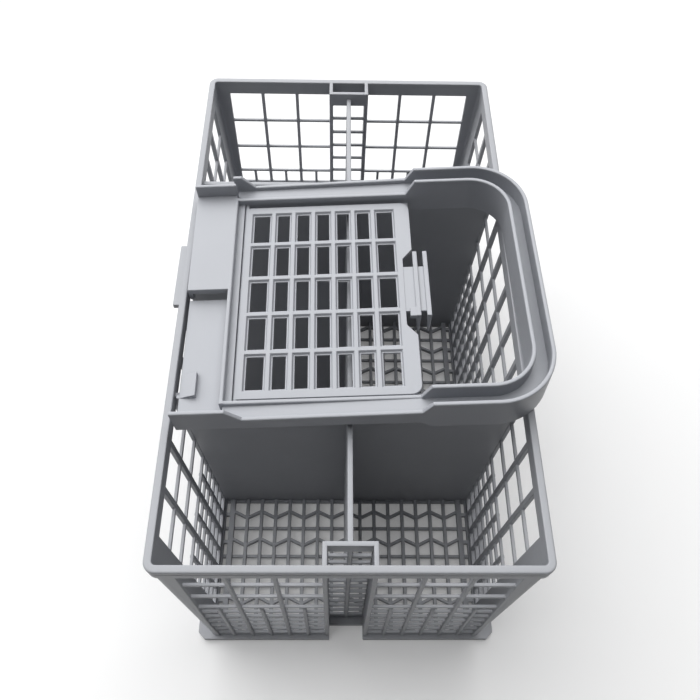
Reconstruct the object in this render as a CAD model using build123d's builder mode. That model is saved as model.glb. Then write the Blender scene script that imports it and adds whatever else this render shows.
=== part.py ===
from build123d import *
import os
from math import asin, atan, cos, degrees, radians, sin

# Dishwasher cutlery basket, millimetres, +Z up, origin under its middle on the surface it stands on.
# X runs across the basket, Y along it.
# Three mouldings: the basket, the handle frame that lies across it and the lid hinged in the frame.

# Basket shell
basket_length = 240.0
basket_width = 136.0
basket_height = 120.0
corner_radius = 3.2
wall = 1.8
wall_taper = 5.0
rim_overhang = 1.0
rim_depth = 2.6
rim_groove = 0.7
band_overhang = 0.9
band_depth = 4.4
tab_length = 30.0
tab_reach = 2.3

# Foot flange and floor
foot_length = 241.0
foot_width = 136.0
foot_height = 3.0
foot_chamfer = 3.0
foot_in_channel = 3.2
floor_thickness = 2.0
floor_bar = 2.4
floor_cell = 15.0
floor_zigzag = 2.2

# Upright channels in the middle of both end walls
channel_width = 15.4
channel_depth = 8.0

# Inner walls
divider = 2.0
divider_drop = 3.0
bays_to_cross_wall = 3

# Wall lattice: three rows of large cells above rows of half-width cells
side_bay = 17.8
side_upright = 2.4
end_bay = 17.0
end_upright = 1.5
rung = 1.6
row_pitch = 17.8
large_rows = 3
fine_per_bay = 2
lattice_drop = 7.2
channel_columns = 2
channel_bar = 1.6

# Handle frame, in its own plane: u from the tongue's end to the grip, v across, w up from its underside
handle_length = 138.0
handle_width = 112.4
handle_yaw = 0.9
handle_shift = -11.9
handle_wall = 1.6
handle_gap = 1.2
seat_gap = 0.05
grip_radius = 22.0
grip_top = 13.6
grip_drop = 3.6
web_top = 5.8
rail_top = 7.2
window_wall_top = 6.2
grip_border = 8.4
rail_border = 8.4
window_radius = 15.0
grip_slope_start = 89.0
grip_slope = 3.6
tongue_slope_end = 24.8
tongue_slope = 6.3

# Tongue of the handle frame
tongue_length = 16.0
tongue_lip_top = 12.6
pocket_top = 6.6
pocket_inset = 4.2
ramp_length = 6.4
ramp_height = 2.4
ramp_width = 10.0
ramp_near = 44.0
nub_reach = 1.0
nub_size = 1.6

# Lid, hinged beside the tongue
lid_end = 90.0
lid_half_width = 46.0
lid_thickness = 1.8
lid_above_ledge = 0.2
lid_corner = 4.0
ledge_thickness = 1.2
ledge_under_lid = 1.0
ledge_lead = 3.4
hinge_pin_radius = 0.8
hinge_clearance = 0.05
hinge_gap = 0.3
hinge_ledge = 2.4
hinge_ledge_drop = 0.7
pin_end_gap = 0.3

# Lid lattice
lid_columns = 7
lid_rows = 5
lid_cell = 4.96
lid_outer_cell = 6.5
lid_bar = 3.42
lid_bar_crest = 1.5
lid_cell_height = 14.0
lid_row_bar = 3.4
lid_hinge_border = 3.3

# Clip at the lid's free edge: a neck with two tapered plates across it
notch_width = 41.4
notch_depth = 4.0
notch_slope = 4.8
clip_length = 31.5
clip_shift = 3.5
clip_plate = 1.9
clip_plate_tip = 0.8
clip_gap = 2.2
clip_rise = 0.6
clip_drop = 8.0
neck_length = 21.6
neck_shift = 1.2
return_length = 4.2
return_reach = 2.4

# Derived sizes of the basket
wall_width = basket_width - 2 * rim_overhang
wall_length = basket_length - 2 * rim_overhang
inner_x = wall_width / 2 - wall
channel_back = wall_length / 2 - channel_depth
rim_bottom = basket_height - rim_depth
band_bottom = rim_bottom - band_depth
foot_inner_x = inner_x - wall_taper
lattice_top = basket_height - lattice_drop
divider_top = basket_height - divider_drop
side_bays = 2 * int((wall_length / 2 - corner_radius) / side_bay)
end_bays = int((foot_inner_x - channel_width / 2 - wall + end_upright) / end_bay)
rows = int((lattice_top - foot_height) / row_pitch)
floor_columns = int(2 * foot_inner_x / floor_cell)
cross_wall_y = bays_to_cross_wall * side_bay
floor_pitch = 2 * foot_inner_x / floor_columns
cell_height = row_pitch - rung
channel_cell = (channel_width + channel_bar) / channel_columns - channel_bar


def shell_plan(inset=0.0, lean=0.0):
    # Plan of the walls: a rounded rectangle with a channel let into the middle of each end
    RectangleRounded(wall_width - 2 * (lean + inset), wall_length - 2 * inset, corner_radius - inset)
    with Locations((0, wall_length / 2), (0, -wall_length / 2)):
        Rectangle(channel_width + 2 * inset, 2 * (channel_depth + inset), mode=Mode.SUBTRACT)


def inside_plan(inset=wall, lean=0.0):
    # Face inside the walls, kept apart from the sketch that asks for it
    with BuildSketch(mode=Mode.PRIVATE) as inside:
        shell_plan(inset, lean)
    return inside.sketch


def channel_mouths(depth):
    # Open mouths of both channels, measured inwards from the back walls
    reach = depth / 2
    return [(0, channel_back + reach), (0, -channel_back - reach)]


with BuildPart() as basket:
    # Walls up to the band: the ends stand upright, the sides lean in towards the foot
    for inset, mode in ((0.0, Mode.ADD), (wall, Mode.SUBTRACT)):
        for level, lean in ((0, wall_taper), (band_bottom, 0)):
            with BuildSketch(Plane.XY.offset(level)) as wall_section:
                shell_plan(inset, lean)
        loft(ruled=True, mode=mode)

    # End wall cells, cut through both ends at once
    with BuildSketch(Plane.XZ) as end_cells:
        first = channel_width / 2 + wall
        run = end_bays * end_bay
        for row in range(rows):
            middle = lattice_top - row * row_pitch - cell_height / 2
            split = 1 if row < large_rows else fine_per_bay
            pitch = end_bay / split
            for side in (-1, 1):
                with Locations((side * (first + run / 2 - end_upright / 2), middle)):
                    with GridLocations(pitch, 0, end_bays * split, 1):
                        Rectangle(pitch - end_upright, cell_height)
            with Locations((0, middle)):
                with GridLocations(channel_cell + channel_bar, 0, channel_columns, 1):
                    Rectangle(channel_cell, cell_height)
    extrude(amount=basket_length, both=True, mode=Mode.SUBTRACT)

    # Side wall cells, cut through both sides at once
    with BuildSketch(Plane.YZ) as side_cells:
        for row in range(rows):
            middle = lattice_top - row * row_pitch - cell_height / 2
            split = 1 if row < large_rows else fine_per_bay
            pitch = side_bay / split
            with Locations((0, middle)):
                with GridLocations(pitch, 0, side_bays * split, 1):
                    Rectangle(pitch - side_upright / split, cell_height)
    extrude(amount=basket_width, both=True, mode=Mode.SUBTRACT)

    # Rim lip with its side tabs, a groove and the thicker band under it, all straight across the channels
    for bottom, depth, overhang, reach in (
        (rim_bottom, rim_depth, rim_overhang, tab_reach),
        (rim_bottom - rim_groove, rim_groove, 0, 0),
        (band_bottom, band_depth - rim_groove, band_overhang, 0),
    ):
        with BuildSketch(Plane.XY.offset(bottom)) as rim_sketch:
            RectangleRounded(wall_width + 2 * overhang, wall_length + 2 * overhang, corner_radius + overhang)
            if reach:
                Rectangle(basket_width + 2 * reach, tab_length)
            add(inside_plan(), mode=Mode.SUBTRACT)
            loop = channel_depth - wall
            with Locations(*channel_mouths(loop)):
                Rectangle(channel_width, loop, mode=Mode.SUBTRACT)
        extrude(amount=depth)

    # Foot flange, notched where the channels come down
    with BuildSketch() as foot_sketch:
        Rectangle(foot_width, foot_length)
        chamfer(foot_sketch.vertices(), foot_chamfer)
        add(inside_plan(wall / 2, wall_taper), mode=Mode.SUBTRACT)
        notch = foot_length / 2 - channel_back - foot_in_channel
        with Locations((0, foot_length / 2 - notch / 2), (0, notch / 2 - foot_length / 2)):
            Rectangle(channel_width, notch, mode=Mode.SUBTRACT)
    extrude(amount=foot_height)

    # Floor grid: every second cross bar zigzags, so a cell has one slanted edge, below or above
    with BuildSketch(Plane.XY.offset(foot_height)) as floor_sketch:
        add(inside_plan(wall / 2, wall_taper))
        half_x = (floor_pitch - floor_bar) / 2
        half_y = (side_bay - floor_bar) / 2
        first_x = (1 - floor_columns) / 2 * floor_pitch
        first_y = (1 - side_bays) / 2 * side_bay
        for even_column in (0, 1):
            for even_row in (0, 1):
                slant = floor_zigzag if even_column else -floor_zigzag
                low_slant = slant * (1 - even_row)
                high_slant = slant * even_row
                cells = [
                    (first_x + column * floor_pitch, first_y + row * side_bay)
                    for column in range(1 - even_column, floor_columns, 2)
                    for row in range(1 - even_row, side_bays, 2)
                ]
                with Locations(*cells):
                    Polygon(
                        (-half_x, low_slant - half_y),
                        (half_x, -low_slant - half_y),
                        (half_x, half_y - high_slant),
                        (-half_x, half_y + high_slant),
                        align=None,
                        mode=Mode.SUBTRACT,
                    )
    extrude(amount=floor_thickness)

    # Cross walls and the half wall between them on the left, as wide as the leaning sides, down to the feet
    top_reach = inner_x + wall / 2
    foot_reach = foot_inner_x + wall / 2
    for place, right in ((cross_wall_y, 1), (-cross_wall_y, 1), (0, 0)):
        with BuildSketch(Plane.XZ.offset(-place)) as cross_wall:
            Polygon(
                (-foot_reach, 0),
                (right * foot_reach, 0),
                (right * top_reach, band_bottom),
                (right * top_reach, divider_top),
                (-top_reach, divider_top),
                (-top_reach, band_bottom),
                align=None,
            )
        extrude(amount=divider / 2, both=True)

    # Lengthwise divider from channel to channel
    with BuildSketch() as lengthwise:
        Rectangle(divider, 2 * channel_back - wall)
    extrude(amount=divider_top)
basket.part.label = "basket"

# Handle plane: the tongue lies on the left ends of the inner walls, the grip's underside on the right rim
tongue_end_x = -inner_x + handle_gap
handle_span = inner_x - tongue_end_x
handle_tilt = asin((divider_drop + grip_drop) / handle_span)
yaw = radians(handle_yaw)
handle_plane = Plane(
    origin=(tongue_end_x, handle_shift, divider_top + seat_gap),
    x_dir=(cos(handle_tilt) * cos(yaw), cos(handle_tilt) * sin(yaw), sin(handle_tilt)),
    z_dir=(-sin(handle_tilt) * cos(yaw), -sin(handle_tilt) * sin(yaw), cos(handle_tilt)),
)
# Its side view: u to the right, w up, normal towards -v
handle_side = Plane(origin=handle_plane.origin, x_dir=handle_plane.x_dir, z_dir=-handle_plane.y_dir)

# Derived sizes of the handle frame and the lid
half_width = handle_width / 2
window_half = half_width - rail_border
window_start = tongue_length + handle_wall
window_end = handle_length - grip_border
web_bottom = web_top - handle_wall
lid_bottom = ledge_thickness + lid_above_ledge
lid_top = lid_bottom + lid_thickness
ledge_edge = lid_half_width - ledge_under_lid
barrel_radius = lid_thickness / 2
hinge_u = window_start + hinge_ledge + hinge_gap + barrel_radius
hinge_w = (lid_bottom + lid_top) / 2
hinge_hole_radius = hinge_pin_radius + hinge_clearance
pocket_half = half_width - pocket_inset


def dee(start, end, half, radius, mode=Mode.ADD):
    # Plan shape with a straight left end and a rounded grip end
    middle = (start + end) / 2
    with Locations((middle, 0)):
        RectangleRounded(end - start, 2 * half, radius, mode=mode)
    with Locations(((start + middle) / 2, 0)):
        Rectangle(middle - start, 2 * half, mode=mode)


def strip(u0, u1, v0, v1, mode=Mode.ADD):
    with Locations(((u0 + u1) / 2, (v0 + v1) / 2)):
        Rectangle(u1 - u0, v1 - v0, mode=mode)


with BuildPart() as handle_frame:
    # Rails and grip: walls round the edge and round the window, full height to start with
    with BuildSketch(handle_plane.offset(-grip_drop)) as frame_plan:
        dee(tongue_length, handle_length, half_width, grip_radius)
        dee(window_start, window_end, window_half, window_radius, mode=Mode.SUBTRACT)
    extrude(amount=grip_drop + grip_top)

    # Channel between the two walls, open above and below the web
    for bottom, depth in ((-grip_drop, grip_drop + web_bottom), (web_top, grip_top)):
        with BuildSketch(handle_plane.offset(bottom)) as frame_channel:
            dee(window_start, handle_length - handle_wall, half_width - handle_wall,
                grip_radius - handle_wall)
            dee(tongue_length, window_end + handle_wall, window_half + handle_wall,
                window_radius + handle_wall, mode=Mode.SUBTRACT)
        extrude(amount=depth, mode=Mode.SUBTRACT)

    # Rails beside the lid end above the grip's underside
    with BuildSketch(handle_side) as rail_underside:
        with BuildLine():
            Polyline(
                (0, 0),
                (grip_slope_start, 0),
                (grip_slope_start + grip_slope, -grip_drop),
                (0, -grip_drop),
                close=True,
            )
        make_face()
    extrude(amount=half_width, both=True, mode=Mode.SUBTRACT)

    # Outer walls and, lower, window walls cut down beside the lid, with a slope at each end
    for level, reach in ((rail_top, half_width), (window_wall_top, window_half + handle_wall)):
        with BuildSketch(handle_side) as low_walls:
            with BuildLine():
                Polyline(
                    (tongue_slope_end - tongue_slope, grip_top),
                    (tongue_slope_end, level),
                    (grip_slope_start, level),
                    (grip_slope_start + grip_slope, grip_top),
                    close=True,
                )
            make_face()
        extrude(amount=reach, both=True, mode=Mode.SUBTRACT)

    # Wall between tongue and window, cut down to the pocket's roof
    with BuildSketch(handle_plane.offset(pocket_top)) as low_end:
        strip(0, tongue_slope_end, handle_wall - half_width, half_width - handle_wall)
    extrude(amount=grip_top, mode=Mode.SUBTRACT)

    # Tongue: bottom panel, end lips, and the raised pocket over its far half
    with BuildSketch(handle_plane) as tongue_panel:
        strip(0, window_start, -half_width, pocket_half)
    extrude(amount=handle_wall)
    with BuildSketch(handle_plane) as tongue_lips:
        strip(0, window_start, -half_width, handle_wall - half_width)
        strip(0, window_start, pocket_half - handle_wall, pocket_half)
    extrude(amount=tongue_lip_top)
    with BuildSketch(handle_plane) as pocket_side:
        strip(0, handle_wall, 0, pocket_half)
    extrude(amount=pocket_top)
    with BuildSketch(handle_plane.offset(pocket_top - handle_wall)) as pocket_roof:
        strip(0, window_start, 0, pocket_half)
    extrude(amount=handle_wall)

    # Snap ramp and end nub on the tongue's near half
    with BuildSketch(handle_side.offset(ramp_near - ramp_width)) as ramp:
        with BuildLine():
            Polyline(
                (0, handle_wall),
                (ramp_length, handle_wall),
                (ramp_length, handle_wall + ramp_height),
                close=True,
            )
        make_face()
    extrude(amount=ramp_width)
    with BuildSketch(handle_plane) as nub:
        strip(-nub_reach, handle_wall, -ramp_near, nub_size - ramp_near)
    extrude(amount=handle_wall)

    # Ledge beside the hinge, and one along each rail that stops the lid
    with BuildSketch(handle_plane) as hinge_strip:
        strip(window_start - handle_wall / 2, window_start + hinge_ledge, -window_half, window_half)
    extrude(amount=lid_top - hinge_ledge_drop)
    with BuildSketch(handle_plane) as ledges:
        for side in (-1, 1):
            strip(hinge_u + ledge_lead, lid_end, side * ledge_edge, side * (window_half + handle_wall / 2))
    extrude(amount=ledge_thickness)

    # Pivot holes through the window walls
    with BuildSketch(handle_side) as pivot_holes:
        with Locations((hinge_u, hinge_w)):
            Circle(hinge_hole_radius)
    extrude(amount=window_half + handle_wall, both=True, mode=Mode.SUBTRACT)
handle_frame.part.label = "handle_frame"

# Places of the lid's lattice and clip
lattice_start = hinge_u + lid_hinge_border
column_pitch = lid_cell + lid_bar
second_column = lattice_start + lid_outer_cell + lid_bar
row_step = lid_cell_height + lid_row_bar
notch_bottom = lid_end - notch_depth
bar_flank = (lid_bar - lid_bar_crest) / 2
flank_angle = degrees(atan(bar_flank / lid_thickness))
plate_pitch = clip_plate + clip_gap
clip_near = clip_shift - clip_length / 2
clip_top = lid_top + clip_rise

with BuildPart() as lid:
    with BuildSketch(handle_plane.offset(lid_bottom)) as lid_plan:
        strip(hinge_u, lid_end, -lid_half_width, lid_half_width)
        fillet(lid_plan.vertices().group_by(Axis.X)[-1], lid_corner)
        with BuildLine():
            Polyline(
                (lid_end, -notch_width / 2),
                (notch_bottom, notch_slope - notch_width / 2),
                (notch_bottom, notch_width / 2 - notch_slope),
                (lid_end, notch_width / 2),
                close=True,
            )
        make_face(mode=Mode.SUBTRACT)
        neck_end = lid_end + plate_pitch + clip_plate / 2
        strip(notch_bottom, neck_end, neck_shift - neck_length / 2, neck_shift + neck_length / 2)
    extrude(amount=lid_thickness)

    # Lattice cells, wider at the top so that the bars narrow to a crest
    with BuildSketch(handle_plane.offset(lid_top)) as lid_cells:
        for column in range(lid_columns):
            left = lattice_start if column == 0 else second_column + (column - 1) * column_pitch
            width = lid_outer_cell if column in (0, lid_columns - 1) else lid_cell
            with Locations((left + width / 2, 0)):
                with GridLocations(0, row_step, 1, lid_rows):
                    Rectangle(width + 2 * bar_flank, lid_cell_height + 2 * bar_flank)
    extrude(amount=-lid_thickness, taper=flank_angle, mode=Mode.SUBTRACT)

    # Hinge barrel along the edge, with a stub pin at each end
    for radius, reach in (
        (barrel_radius, lid_half_width),
        (hinge_pin_radius, window_half + handle_wall - pin_end_gap),
    ):
        with BuildSketch(handle_side) as hinge_section:
            with Locations((hinge_u, hinge_w)):
                Circle(radius)
        extrude(amount=reach, both=True)

    # Clip plates, tapered downwards, and the short return at the first one's near end
    for plate in range(2):
        with BuildSketch(handle_side.offset(-clip_near - clip_length)) as plate_section:
            with Locations((lid_end + clip_plate / 2 + plate * plate_pitch, (clip_top - clip_drop) / 2)):
                Polygon(
                    (-clip_plate / 2, (clip_top + clip_drop) / 2),
                    (clip_plate / 2, (clip_top + clip_drop) / 2),
                    (clip_plate_tip / 2, -(clip_top + clip_drop) / 2),
                    (-clip_plate_tip / 2, -(clip_top + clip_drop) / 2),
                    align=None,
                )
        extrude(amount=clip_length)
    with BuildSketch(handle_plane.offset(lid_bottom)) as clip_return:
        strip(lid_end - return_reach, lid_end + clip_plate / 2, clip_near, clip_near + return_length)
    extrude(amount=clip_top - lid_bottom)
lid.part.label = "lid"

os.makedirs("parts", exist_ok=True)
for piece in (basket, handle_frame, lid):
    export_step(piece.part, f"parts/{piece.part.label}.step")
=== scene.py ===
from math import asin, cos, pi, radians, sin

import bmesh
import bpy
from mathutils import Matrix, Vector


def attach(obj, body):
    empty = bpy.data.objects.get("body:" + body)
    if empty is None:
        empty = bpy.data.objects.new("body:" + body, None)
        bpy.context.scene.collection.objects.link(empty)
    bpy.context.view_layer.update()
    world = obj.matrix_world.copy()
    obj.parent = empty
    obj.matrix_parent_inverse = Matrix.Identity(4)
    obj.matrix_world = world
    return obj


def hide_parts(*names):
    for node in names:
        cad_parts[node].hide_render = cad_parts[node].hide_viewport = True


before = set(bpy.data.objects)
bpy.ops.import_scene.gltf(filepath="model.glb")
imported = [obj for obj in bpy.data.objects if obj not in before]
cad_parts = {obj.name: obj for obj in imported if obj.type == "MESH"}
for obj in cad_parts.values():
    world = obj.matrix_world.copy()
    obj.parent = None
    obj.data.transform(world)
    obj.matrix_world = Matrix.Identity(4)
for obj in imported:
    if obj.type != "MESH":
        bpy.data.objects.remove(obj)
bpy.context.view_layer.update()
millimetre = 0.001  # sizes in this script are millimetres, finished meshes are metres
toMetres = Matrix.Scale(millimetre, 4)
scene = bpy.context.scene


class Wire:  # one socket of a node tree; a sum on wires adds its Math nodes
    def __init__(self, tree, socket):
        self.tree = tree
        self.socket = socket

    @staticmethod
    def make(tree, kind, settings=None, sockets=None, out=0):
        node = tree.nodes.new(kind)
        for key, value in (settings or {}).items():
            setattr(node, key, value)
        for key, value in (sockets or {}).items():
            if isinstance(value, Wire):
                tree.links.new(value.socket, node.inputs[key])
            else:
                node.inputs[key].default_value = value
        return Wire(tree, node.outputs[out])

    def node(self, kind, settings=None, sockets=None, out=0):
        return Wire.make(self.tree, kind, settings, sockets, out)

    def also(self, out):  # another output of the same node
        return Wire(self.tree, self.socket.node.outputs[out])

    def sum(self, operation, *values):
        return self.node("ShaderNodeMath", {"operation": operation}, dict(enumerate(values)))

    def floor(self):
        return self.sum("FLOOR", self)

    def __add__(self, other):
        return self.sum("ADD", self, other)

    def __sub__(self, other):
        return self.sum("SUBTRACT", self, other)

    def __rsub__(self, other):
        return self.sum("SUBTRACT", other, self)

    def __mul__(self, other):
        return self.sum("MULTIPLY", self, other)

    def __truediv__(self, other):
        return self.sum("DIVIDE", self, other)

    def __mod__(self, other):
        return self.sum("FLOORED_MODULO", self, other)

    def __lt__(self, other):
        return self.sum("LESS_THAN", self, other)

    def __gt__(self, other):
        return self.sum("GREATER_THAN", self, other)

    def __or__(self, other):
        return self.sum("MAXIMUM", self, other)

    __radd__ = __add__
    __rmul__ = __mul__


# Materials

plasticLook = {
    "basketPlastic": {"pale": (0.40, 0.41, 0.435), "deep": (0.355, 0.365, 0.39), "rough": 0.46},
    "handlePlastic": {"pale": (0.425, 0.437, 0.468), "deep": (0.38, 0.392, 0.422), "rough": 0.42},
    "flowScale": 22.0, "flowShare": 0.7,  # cloudy flow of the melt, per metre, and its part in the tone
    "grainScale": 2600.0, "grainShare": 0.3, "grainRough": 0.08,  # spark-eroded mould texture
    "scuffScale": 340.0, "scuffRough": 0.16, "scuffHeight": 0.6,
    # The dark colour below and its strength are painted shade: ambient occlusion darkens the base colour in
    # creases, corners and recesses
    "paintedShade": (0.30, 0.31, 0.33), "paintedShadeStrength": 0.42,
    "paintedShadeReach": 0.018,  # how far the painted shade reaches out of a crease, metres
    "bump": 0.05, "bumpDepth": 0.0002, "ior": 1.49,
}


def mouldedPlastic(name):
    common = plasticLook
    look = common[name]
    material = bpy.data.materials.new(name)
    material.use_nodes = True
    tree = material.node_tree
    shader = tree.nodes["Principled BSDF"]
    place = Wire.make(tree, "ShaderNodeTexCoord", out="Object")
    flow = place.node("ShaderNodeTexNoise", sockets={
        "Vector": place, "Scale": common["flowScale"], "Detail": 3.0, "Roughness": 0.55})
    grain = place.node("ShaderNodeTexNoise", sockets={
        "Vector": place, "Scale": common["grainScale"], "Detail": 2.0})
    scuff = place.node("ShaderNodeTexNoise", sockets={
        "Vector": place, "Scale": common["scuffScale"], "Detail": 4.0, "Distortion": 1.4})
    # Painted shade: ambient occlusion measures how closed in each spot is
    occlusion = place.node("ShaderNodeAmbientOcclusion", {"samples": 8}, {
        "Distance": common["paintedShadeReach"]}, "AO")
    tone = place.node("ShaderNodeMix", {"data_type": "RGBA"}, {
        0: flow * common["flowShare"] + grain * common["grainShare"],
        6: (*look["deep"], 1.0), 7: (*look["pale"], 1.0)}, 2)
    # Painted shade: the base colour is multiplied towards the dark colour in creases, corners and recesses
    paintedShade = (1.0 - occlusion) * common["paintedShadeStrength"]
    shade = tone.node("ShaderNodeMix", {"data_type": "RGBA", "blend_type": "MULTIPLY"}, {
        0: paintedShade, 6: tone, 7: (*common["paintedShade"], 1.0)}, 2)
    tree.links.new(shade.socket, shader.inputs["Base Color"])
    rough = look["rough"] + (scuff - 0.5) * common["scuffRough"] + (grain - 0.5) * common["grainRough"]
    tree.links.new(rough.socket, shader.inputs["Roughness"])
    bump = grain.node("ShaderNodeBump", sockets={
        "Strength": common["bump"], "Distance": common["bumpDepth"],
        "Height": grain + scuff * common["scuffHeight"]})
    tree.links.new(bump.socket, shader.inputs["Normal"])
    shader.inputs["IOR"].default_value = common["ior"]
    return material


basketPlastic = mouldedPlastic("basketPlastic")
handlePlastic = mouldedPlastic("handlePlastic")
print("materials made")


# Mesh helpers, all in millimetres

def boxMesh(low, high, edge=0.3, segments=2):
    bm = bmesh.new()
    bmesh.ops.create_cube(bm, size=1.0)
    low = Vector(low)
    high = Vector(high)
    for vertex in bm.verts:
        vertex.co = Vector((low[i] + (vertex.co[i] + 0.5) * (high[i] - low[i]) for i in range(3)))
    roundEdges(bm, edge, segments)
    return asMesh(bm)


def prismMesh(outline, low, high, edge=0.3, segments=2):
    bm = bmesh.new()
    foot = bm.faces.new([bm.verts.new((x, y, low)) for x, y in outline])
    grown = bmesh.ops.extrude_face_region(bm, geom=[foot])
    for item in grown["geom"]:
        if isinstance(item, bmesh.types.BMVert):
            item.co.z = high
    bmesh.ops.recalc_face_normals(bm, faces=bm.faces)
    roundEdges(bm, edge, segments)
    return asMesh(bm)


def roundEdges(bm, width, segments, angle=30.0):
    edges = [e for e in bm.edges if len(e.link_faces) == 2 and e.calc_face_angle() > radians(angle)]
    if width:
        bmesh.ops.bevel(bm, geom=edges, offset=width, segments=segments, profile=0.5, affect="EDGES")


def asMesh(bm):
    mesh = bpy.data.meshes.new("part")
    bm.to_mesh(mesh)
    bm.free()
    return mesh


def roundedRing(halfX, halfY, radius, segments):
    points = []
    corners = ((1, 1, 0.0), (-1, 1, 0.5), (-1, -1, 1.0), (1, -1, 1.5))
    for sideX, sideY, start in corners:
        for step in range(segments + 1):
            turn = pi * (start + 0.5 * step / segments)
            points.append((sideX * (halfX - radius) + radius * cos(turn),
                           sideY * (halfY - radius) + radius * sin(turn)))
    return points


def sweepRing(halfX, halfY, radius, profile, segments=8):
    # A closed profile of (outward offset, height) points carried round a rounded rectangle
    bm = bmesh.new()
    rings = []
    for offset, height in profile:
        ring = roundedRing(halfX + offset, halfY + offset, radius + offset, segments)
        rings.append([bm.verts.new((x, y, height)) for x, y in ring])
    count = len(rings[0])
    for inner, outer in zip(rings, rings[1:] + rings[:1]):
        for step in range(count):
            nextStep = (step + 1) % count
            bm.faces.new((inner[step], inner[nextStep], outer[nextStep], outer[step]))
    bmesh.ops.recalc_face_normals(bm, faces=bm.faces)
    return asMesh(bm)


def roundedProfile(corners, steps=3):
    # Profile corners given as (offset, height, rounding radius), turned into a smooth closed outline
    outline = []
    for index, (x, y, radius) in enumerate(corners):
        here = Vector((x, y))
        before = (Vector(corners[index - 1][:2]) - here).normalized()
        after = (Vector(corners[(index + 1) % len(corners)][:2]) - here).normalized()
        if not radius:
            outline.append((x, y))
            continue
        for step in range(steps + 1):
            share = step / steps
            start = here + before * radius * (1.0 - share)
            end = here + after * radius * share
            outline.append(tuple(start * (1.0 - share) + end * share))
    return outline


def carve(mesh, cutter):
    # What is left of one mesh where another is taken away
    pair = []
    for data in (mesh, cutter):
        pair.append(bpy.data.objects.new("carved", data))
        scene.collection.objects.link(pair[-1])
    cut = pair[0].modifiers.new("cut", "BOOLEAN")
    cut.operation = "DIFFERENCE"
    cut.solver = "EXACT"
    cut.object = pair[1]
    seen = pair[0].evaluated_get(bpy.context.evaluated_depsgraph_get())
    result = bpy.data.meshes.new_from_object(seen)
    for item in pair:
        bpy.data.objects.remove(item)
    return result


def growMesh(tree, sizes, edge=0.0):
    # Runs a tree on an empty object and keeps its result as a plain mesh
    holder = bpy.data.objects.new("holder", bpy.data.meshes.new("holder"))
    scene.collection.objects.link(holder)
    modifier = holder.modifiers.new("tree", "NODES")
    modifier.node_group = tree
    for item in tree.interface.items_tree:
        if item.in_out == "INPUT":
            modifier[item.identifier] = sizes[item.name]
    if edge:
        bevel = holder.modifiers.new("edge", "BEVEL")
        bevel.width = edge
        bevel.segments = 1
        bevel.limit_method = "ANGLE"
        bevel.use_clamp_overlap = False
    seen = holder.evaluated_get(bpy.context.evaluated_depsgraph_get())
    mesh = bpy.data.meshes.new_from_object(seen)
    holder.modifiers.clear()
    bpy.data.objects.remove(holder)
    return mesh


def joinPiece(name, meshes, material, body, replaced, smoothAngle=35.0):
    # One object at the origin from millimetre meshes, riding on its body
    bm = bmesh.new()
    for mesh in meshes:
        bm.from_mesh(mesh)
        bpy.data.meshes.remove(mesh)
    bmesh.ops.transform(bm, matrix=toMetres, verts=bm.verts)
    for face in bm.faces:
        face.smooth = True
        face.material_index = 0
    mesh = asMesh(bm)
    mesh.name = name
    mesh.set_sharp_from_angle(angle=radians(smoothAngle))
    mesh.materials.clear()
    mesh.materials.append(material)
    piece = bpy.data.objects.new(name, mesh)
    scene.collection.objects.link(piece)
    weighted = piece.modifiers.new("weighted", "WEIGHTED_NORMAL")
    weighted.keep_sharp = True
    seen = piece.evaluated_get(bpy.context.evaluated_depsgraph_get())
    finished = bpy.data.meshes.new_from_object(seen)
    piece.modifiers.clear()
    piece.data = finished
    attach(piece, body)
    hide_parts(replaced)
    triangles = sum(len(face.vertices) - 2 for face in finished.polygons)
    print(name, "triangles", triangles)


# Lattice panels by Geometry Nodes: a grid loses its cells, gets its thickness, then its raised bars

def startTree(name, inputs):
    tree = bpy.data.node_groups.new(name, "GeometryNodeTree")
    tree.interface.new_socket("Geometry", in_out="OUTPUT", socket_type="NodeSocketGeometry")
    for label, kind in inputs.items():
        tree.interface.new_socket(label, in_out="INPUT", socket_type="NodeSocket" + kind)
    start = tree.nodes.new("NodeGroupInput")
    return tree, {label: Wire(tree, start.outputs[label]) for label in inputs}


def pick(choice, yes, no):
    return choice * yes + (1.0 - choice) * no


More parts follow.
